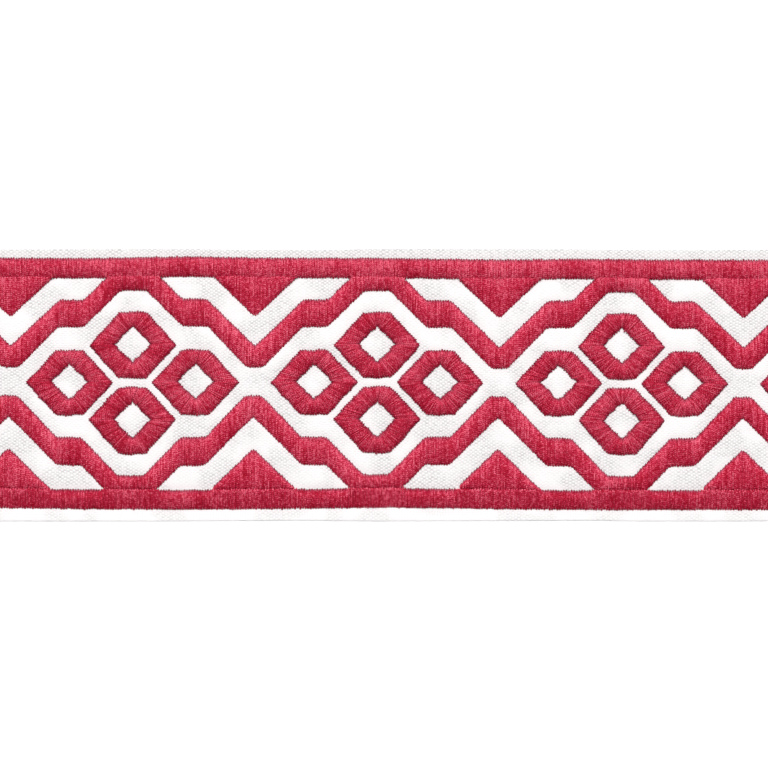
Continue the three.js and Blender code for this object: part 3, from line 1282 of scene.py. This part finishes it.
@dataclass
class WovenTape:
    """The woven ground, hemmed along each edge underneath and drawn down a little by the stitches."""

    finish: bpy.types.Material
    step_along: float = 1.0
    columns: int = 96
    edge_points: int = 4
    edge_column: float = 0.0013
    edge_depth: float = 0.2
    top: float = 1.0
    draw: float = 0.2
    draw_reach: float = 0.8
    raster: float = 0.5
    raster_spread: int = 8
    pucker: float = 0.06
    pucker_count: int = 14
    pucker_lengths: tuple = (5, 14)
    pucker_seed: int = 41
    free_reach: float = 3.0
    hem_width: float = 7.0
    hem_step: float = 0.35
    hem_fold: float = 0.12
    hem_slope: float = 0.1
    cut_width: float = 90.0
    # The painted pink bounce light beside the stitches, and the least of it anywhere.
    painted_bounce: float = 0.3
    least_painted_bounce: float = 0.02
    ends_from: float = 0.3
    # On the unit square: each strip's foot and height, and how far up its second row is.
    front_strip: tuple = (0.0, 0.42, 0.43)
    back_strip: tuple = (0.86, 0.06, 0.07)
    strip_ends: tuple = (0.002, 0.988)
    end_strip: tuple = (0.995, 0.004, 0.01, 0.99)

    def nearness(self) -> tuple[Array, Array, Array]:
        """How close each place of the tape is to stitches, from 0 to 1.

        Returns:
            The places along, the places across, and the blurred map of the stitching.
        """
        x = np.arange(-CHART.length / 2, CHART.length / 2 + self.raster / 2, self.raster)
        y = np.arange(-CHART.width / 2, CHART.width / 2 + self.raster / 2, self.raster)
        grid_x, grid_y = np.meshgrid(x, y, indexing="ij")
        moved = CHART.strayed(np.stack([grid_x, grid_y], axis=-1))
        under = CHART.stitched(2 * grid_x - moved[..., 0], 2 * grid_y - moved[..., 1])
        spread = np.arange(-self.raster_spread, self.raster_spread + 1) * self.raster
        weights = np.exp(-(spread**2) / (2 * self.draw_reach**2))
        weights /= weights.sum()
        padded = np.pad(under, self.raster_spread, mode="edge")
        rows = sum(weight * padded[i : i + len(x)] for i, weight in enumerate(weights))
        return x, y, sum(weight * rows[:, i : i + len(y)] for i, weight in enumerate(weights))

    def closeness(self, x: Array, y: Array) -> Array:
        """Reads the blurred map of the stitching.

        Args:
            x: places along the tape.
            y: places across it.

        Returns:
            How close they are to stitches, from 0 to 1.
        """
        raster_x, raster_y, near = self.nearness()
        # The last places read the last cell of the map.
        slack = 1.001
        at_x = np.clip((x - raster_x[0]) / self.raster, 0, len(raster_x) - slack)
        at_y = np.clip((y - raster_y[0]) / self.raster, 0, len(raster_y) - slack)
        cell_x, cell_y = at_x.astype(int), at_y.astype(int)
        part_x, part_y = at_x - cell_x, at_y - cell_y
        rows = [
            near[cell_x, cell] * (1 - part_x) + near[cell_x + 1, cell] * part_x
            for cell in (cell_y, cell_y + 1)
        ]
        return rows[0] * (1 - part_y) + rows[1] * part_y

    def puckers(self, x: Array, y: Array) -> Array:
        """Soft uneven puckers over the open cloth.

        Args:
            x: places along the tape.
            y: places across it.

        Returns:
            How far the cloth rises.
        """
        rng = np.random.default_rng(self.pucker_seed)
        total = np.zeros(np.broadcast_shapes(x.shape, y.shape))
        for _ in range(self.pucker_count):
            angle = rng.uniform(0, math.pi)
            wave = rng.uniform(*self.pucker_lengths)
            phase = rng.uniform(0, 2 * math.pi)
            total += np.sin((x * math.cos(angle) + y * math.sin(angle)) * 2 * math.pi / wave + phase)
        return total * self.pucker / math.sqrt(self.pucker_count)

    def halfway(self, share: Array) -> Array:
        """1 where a share is a half, and 0 where it is nothing or the whole."""
        return share * (1 - share) * 4

    def shares(self) -> Array:
        """Places the columns of points across the tape, with a pair at each edge and at each hem's end.

        Returns:
            Shares of the way across.
        """
        share = np.linspace(0, 1, self.columns + 1)
        share[1] = self.edge_column
        share[-2] = 1 - share[1]
        hem = round(self.hem_width / CHART.width * self.columns)
        hem_end = np.array([self.hem_width, self.hem_width + self.hem_fold]) / CHART.width
        share[hem : hem + 2] = hem_end
        share[-hem - 2 : -hem] = 1 - hem_end[::-1]
        return share

    def edge(self, along: Array, limit: Array, face: Array, sign: int) -> Array:
        """Rounds one long edge over from one face to the other.

        Args:
            along: places along the tape.
            limit: where the rounding starts, across the tape.
            face: the upper face's height there.
            sign: 1 at the upper edge, from the front to the back, and -1 at the lower edge, back again.

        Returns:
            The points of the edge, without those on the faces.
        """
        turn = math.pi * np.arange(1, self.edge_points + 1) / (self.edge_points + 1)
        y = limit[:, None] + sign * self.edge_depth * np.sin(turn)
        z = face[:, None] / 2 * (1 + sign * np.cos(turn))
        return np.stack([np.broadcast_to(along[:, None], y.shape), y, z], axis=-1)

    def build(self) -> bpy.types.Object:
        """Makes the cloth.

        Returns:
            The piece.
        """
        steps = round(CHART.length / self.step_along)
        along = np.linspace(-CHART.length / 2, CHART.length / 2, steps + 1)
        low = -CHART.width / 2 + np.interp(along, CHART.edge_x, CHART.edge_lower) + self.edge_depth
        high = CHART.width / 2 - np.interp(along, CHART.edge_x, CHART.edge_upper) - self.edge_depth
        share = self.shares()
        y = low[:, None] + (high - low)[:, None] * share
        x = np.broadcast_to(along[:, None], y.shape)
        near = self.closeness(x, y)
        to_edge = np.minimum(share, 1 - share) * CHART.width
        free = np.clip(to_edge / self.free_reach, 0, 1)
        upper_face = self.top - self.draw * near + self.puckers(x, y) * free * (1 - near)
        front = np.stack([x, y, upper_face], axis=-1)
        # Between the hems, the back lies the hem's own thickness higher.
        lifted = self.hem_step * np.clip((to_edge - self.hem_width) / self.hem_slope, 0, 1)
        back = np.stack([x, y, lifted * np.ones_like(y)], axis=-1)[:, ::-1]
        upper_edge = self.edge(along, high, upper_face[:, -1], 1)
        lower_edge = self.edge(along, low, upper_face[:, 0], -1)
        loop = np.concatenate([front, upper_edge, back, lower_edge], axis=1)
        tone = np.zeros(loop.shape)
        # Painted pink bounce light, most at the stitches' edges and a little everywhere.
        beside = np.clip(self.halfway(near), 0, 1)
        tone[:, : self.columns + 1, 0] = beside * self.painted_bounce + self.least_painted_bounce
        sewn = near * (to_edge > self.hem_width)
        ends = np.clip(self.halfway(sewn) - self.ends_from, 0, 1)
        behind = slice(self.columns + 1 + self.edge_points, 2 * (self.columns + 1) + self.edge_points)
        tone[:, behind, 1] = sewn[:, ::-1]
        tone[:, behind, 2] = ends[:, ::-1]
        quads = grid_quads(*loop.shape[:2], wrap=True)[..., ::-1].reshape(-1, 4)
        bake = self.bake_places(loop.shape[:2]).reshape(-1, 4, 2)
        end_quads, end_bake = self.cut_ends(loop.shape[:2])
        bake = np.concatenate([bake, end_bake])
        parts = MeshParts()
        # The cloth's finish doesn't read the places on a thread.
        parts.add(loop, np.concatenate([quads, end_quads]), tone, bake, bake * 100)
        piece = parts.piece("woven_tape_cloth", self.finish)
        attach(piece, "root")
        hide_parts("woven_tape")
        log.info("%s: %d faces", piece.name, len(piece.data.polygons))
        return piece

    def bake_places(self, shape: tuple[int, int]) -> Array:
        """Lays the front in two long rows of the unit square, and the back and edges in two thin ones.

        Args:
            shape: how many sections along the tape, and points in each.

        Returns:
            Places on the unit square, for each face corner.
        """
        sections, around = shape
        step = np.arange(sections - 1)
        half = (sections - 1) // 2
        second = step >= half
        first = np.where(second, step - half, step) / half
        place = np.arange(around)
        front = place < self.columns
        base, scale, pitch = (np.where(front, *pair) for pair in zip(self.front_strip, self.back_strip))
        row = base + second[:, None] * pitch
        behind = around - self.columns
        low, high = (
            row + np.where(front, at / self.columns, (at - self.columns) / behind) * scale
            for at in (place, place + 1)
        )
        start, length = self.strip_ends
        left = np.broadcast_to(start + length * first[:, None], low.shape)
        right = np.broadcast_to(start + length * (first + 1 / half)[:, None], low.shape)
        corners = [(right, low), (right, high), (left, high), (left, low)]
        return np.stack([np.stack(corner, axis=-1) for corner in corners], axis=2)

    def cut_ends(self, shape: tuple[int, int]) -> tuple[Array, Array]:
        """The faces that close the two cut ends.

        Args:
            shape: how many sections along the tape, and points in each.

        Returns:
            The faces, and their corners' places on the unit square.
        """
        sections, around = shape
        half = self.edge_points // 2
        place = np.arange(-half, self.columns + 1 + half)
        high = place % around
        low = (2 * self.columns + 1 + self.edge_points - place) % around
        strip = np.stack([low[:-1], low[1:], high[1:], high[:-1]], axis=-1)
        faces = np.concatenate([strip[:, ::-1], strip + (sections - 1) * around])
        left, width, bottom, top = self.end_strip
        up = np.linspace(bottom, top, len(high))
        corner = np.stack([up[:-1], up[1:], up[1:], up[:-1]], axis=-1)
        side = np.broadcast_to(left + np.array([0, 0, width, width]), corner.shape)
        places = np.stack([side, corner], axis=-1)
        return faces, np.concatenate([places[:, ::-1], places])


# The studio


@dataclass
class Studio:
    """The floor, the lights and the camera, which looks straight down as in the photograph."""

    view_width: float = 213.5
    lens: float = 200.0
    sensor: float = 36.0
    centre: tuple = (1.93, 0.2)
    focus: float = 1.0
    clip: tuple = (0.01, 50)
    floor_size: float = 6.0
    floor_depth: float = 0.0002
    key_power: float = 121.0
    key_size: float = 2.4
    key_place: tuple = (-0.1, 1.7, 2.35)
    fill: float = 0.19

    def camera(self) -> None:
        """Adds the camera."""
        data = bpy.data.cameras.new("camera")
        data.lens = self.lens
        data.sensor_width = self.sensor
        data.clip_start, data.clip_end = self.clip
        camera = bpy.data.objects.new("camera", data)
        # The view is as wide as it says at the height of the cloth.
        distance = self.view_width * self.lens / self.sensor
        camera.location = (self.centre[0] * MM, self.centre[1] * MM, (distance + self.focus) * MM)
        bpy.context.scene.collection.objects.link(camera)
        bpy.context.scene.camera = camera

    def floor(self) -> None:
        """Adds the floor."""
        half = self.floor_size / 2
        corners = [(-half, -half), (half, -half), (half, half), (-half, half)]
        mesh = bpy.data.meshes.new("floor")
        mesh.from_pydata([(x, y, -self.floor_depth) for x, y in corners], [], [(0, 1, 2, 3)])
        mesh.materials.append(StudioFloor().material())
        floor = bpy.data.objects.new("floor", mesh)
        bpy.context.scene.collection.objects.link(floor)

    def lights(self) -> None:
        """Adds one large soft light from behind the tape's upper edge, and an even white surround."""
        data = bpy.data.lights.new("key", "AREA")
        data.shape = "SQUARE"
        data.size = self.key_size
        data.energy = self.key_power
        key = bpy.data.objects.new("key", data)
        key.location = self.key_place
        key.rotation_euler = (-key.location).to_track_quat("-Z", "Y").to_euler()
        bpy.context.scene.collection.objects.link(key)
        world = bpy.data.worlds.new("surround")
        world.use_nodes = True
        surround = world.node_tree.nodes["Background"]
        surround.inputs["Color"].default_value = (1, 1, 1, 1)
        surround.inputs["Strength"].default_value = self.fill
        bpy.context.scene.world = world

    def build(self) -> None:
        """Sets the stage."""
        self.floor()
        self.lights()
        self.camera()
        bpy.context.scene.view_settings.view_transform = "Standard"


def main() -> None:
    """Builds the cloth, the stitches and the studio."""
    logging.basicConfig(level=logging.INFO)
    fibres = SpunFibres().group()
    weave = PlainWeave().group()
    WovenTape(TapeCloth().material(weave, fibres)).build()
    Embroidery(SatinThread().material(fibres)).build()
    Studio().build()
    bpy.context.view_layer.update()


if __name__ == "__main__":
    main()
